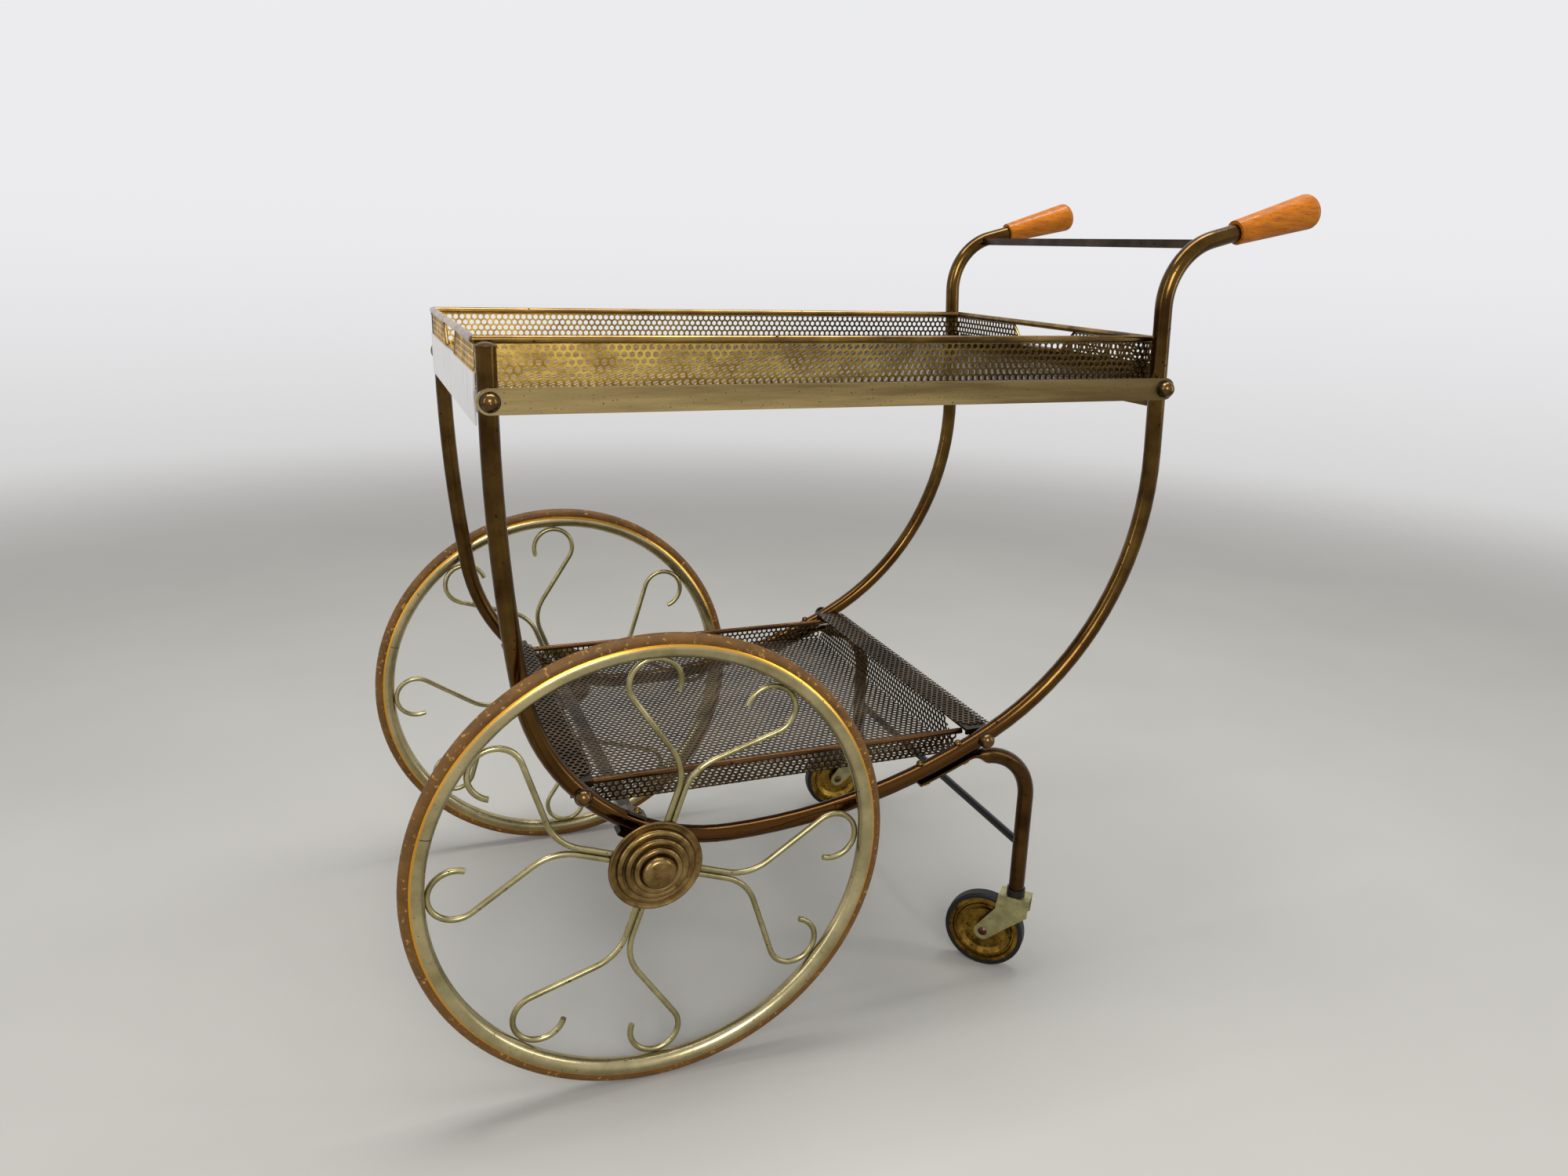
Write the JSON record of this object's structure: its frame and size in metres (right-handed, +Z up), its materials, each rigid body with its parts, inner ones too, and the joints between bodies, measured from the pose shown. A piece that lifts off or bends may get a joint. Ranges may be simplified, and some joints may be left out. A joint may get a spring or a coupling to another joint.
{
  "type": "serving trolley",
  "caption": "Bent-tube serving trolley with a lift-off perforated tray, a perforated shelf below, large spoked wheels in front, swivel casters behind and wooden grips.",
  "frame": {"origin": "on the floor, midway along the length and on the middle plane between the side tubes", "axes": "+X towards the handles, +Y to the right of the user, who stands at the handles and faces the trolley, +Z up"},
  "size_m": [0.8133, 0.4692, 0.7425],
  "materials": {
    "tube_brass": "bent tube under old lacquer, browned, soft gloss",
    "cap_brass": "polished, browned",
    "grip_wood": "turned beech, clear orange varnish",
    "crossbar_bronze": "dark bronze patina",
    "rail_brass": "satin, small dark spots",
    "plate_silver": "pale, fine vertical streaks",
    "plate_brass": "browned",
    "bolt_brass": "domed, browned",
    "washer_black": "dark fibre washer",
    "nut_brass": "plain",
    "tray_sheet": "perforated sheet, satin, golden inside",
    "tray_bead": "rolled bead, bright on the long sides, greyer along the front",
    "shelf_sheet": "perforated sheet, browned",
    "rod_brass": "drawn rod, satin",
    "bar_brass": "dark brown",
    "axle_steel": "turned",
    "strap_steel": "pale grey strap",
    "rim_brass": "rolled channel, satin",
    "wheel_tyre": "reddish brown solid rubber, matt",
    "spoke_brass": "bent wire, satin",
    "hub_brass": "turned",
    "cap_pressed": "pressed sheet, bright on the ring tops, dark grooves",
    "leg_brass": "bent tube, browned",
    "stretcher_black": "black, soft gloss",
    "socket_black": "moulded collar",
    "fork_brass": "olive grey, satin",
    "stem_steel": "plain",
    "pin_bronze": "dark brown head",
    "disc_brass": "pressed disc, dark patina spots",
    "caster_rubber": "black rubber, matt"
  },
  "bodies": {
    "frame": {"side_tube_left": "tube_brass", "side_tube_right": "tube_brass", "post_caps": "cap_brass", "grip_left": "grip_wood", "grip_right": "grip_wood", "handle_crossbar": "crossbar_bronze", "side_rail_left": "rail_brass", "side_rail_right": "rail_brass", "front_cross_plate": "plate_silver", "rear_cross_plate": "plate_brass", "rail_bolts": "bolt_brass", "rail_washers": "washer_black", "rail_nuts": "nut_brass", "lower_shelf": "shelf_sheet", "shelf_rods": "rod_brass", "shelf_bar_front": "bar_brass", "shelf_bar_rear": "bar_brass", "shelf_bolts": "bolt_brass", "shelf_washers": "washer_black", "axle": "axle_steel", "axle_nuts": "axle_steel", "axle_brackets": "bar_brass", "axle_strap": "strap_steel", "axle_strap_bolts": "bolt_brass", "caster_leg_left": "leg_brass", "caster_leg_right": "leg_brass", "leg_bolts": "bolt_brass", "leg_nuts": "nut_brass", "leg_stretcher": "stretcher_black", "caster_sockets": "socket_black"},
    "upper_tray": {"upper_tray": "tray_sheet", "upper_tray_rim": "tray_bead"},
    "wheel_left": {"wheel_rim_left": "rim_brass", "wheel_tyre_left": "wheel_tyre", "wheel_spokes_left": "spoke_brass", "wheel_hub_left": "hub_brass", "hub_cap_left": "cap_pressed"},
    "caster_fork_left": {"caster_fork_left": "fork_brass", "caster_stem_left": "stem_steel", "caster_axle_left": "pin_bronze"},
    "caster_wheel_left": {"caster_disc_left": "disc_brass", "caster_tyre_left": "caster_rubber"},
    "wheel_right": {"wheel_rim_right": "rim_brass", "wheel_tyre_right": "wheel_tyre", "wheel_spokes_right": "spoke_brass", "wheel_hub_right": "hub_brass", "hub_cap_right": "cap_pressed"},
    "caster_fork_right": {"caster_fork_right": "fork_brass", "caster_stem_right": "stem_steel", "caster_axle_right": "pin_bronze"},
    "caster_wheel_right": {"caster_disc_right": "disc_brass", "caster_tyre_right": "caster_rubber"}
  },
  "joints": [
    {"name": "tray_lift", "type": "slide", "parent": "frame", "child": "upper_tray", "axis": [0, 0, 1], "range_m": [0, 0.3]},
    {"name": "wheel_spin_left", "type": "hinge", "parent": "frame", "child": "wheel_left", "pos_m": [-0.20663, -0.2195, 0.2], "axis": [0, 1, 0], "continuous": true},
    {"name": "caster_swivel_left", "type": "hinge", "parent": "frame", "child": "caster_fork_left", "pos_m": [0.16354, -0.187, 0.0837], "axis": [0, 0, 1], "continuous": true},
    {"name": "caster_spin_left", "type": "hinge", "parent": "caster_fork_left", "child": "caster_wheel_left", "pos_m": [0.14409, -0.16755, 0.039], "axis": [-0.7071, -0.7071, 0], "continuous": true},
    {"name": "wheel_spin_right", "type": "hinge", "parent": "frame", "child": "wheel_right", "pos_m": [-0.20663, 0.2195, 0.2], "axis": [0, 1, 0], "continuous": true},
    {"name": "caster_swivel_right", "type": "hinge", "parent": "frame", "child": "caster_fork_right", "pos_m": [0.16354, 0.187, 0.0837], "axis": [0, 0, 1], "continuous": true},
    {"name": "caster_spin_right", "type": "hinge", "parent": "caster_fork_right", "child": "caster_wheel_right", "pos_m": [0.13614, 0.1894, 0.039], "axis": [-0.0872, -0.9962, 0], "continuous": true}
  ]
}
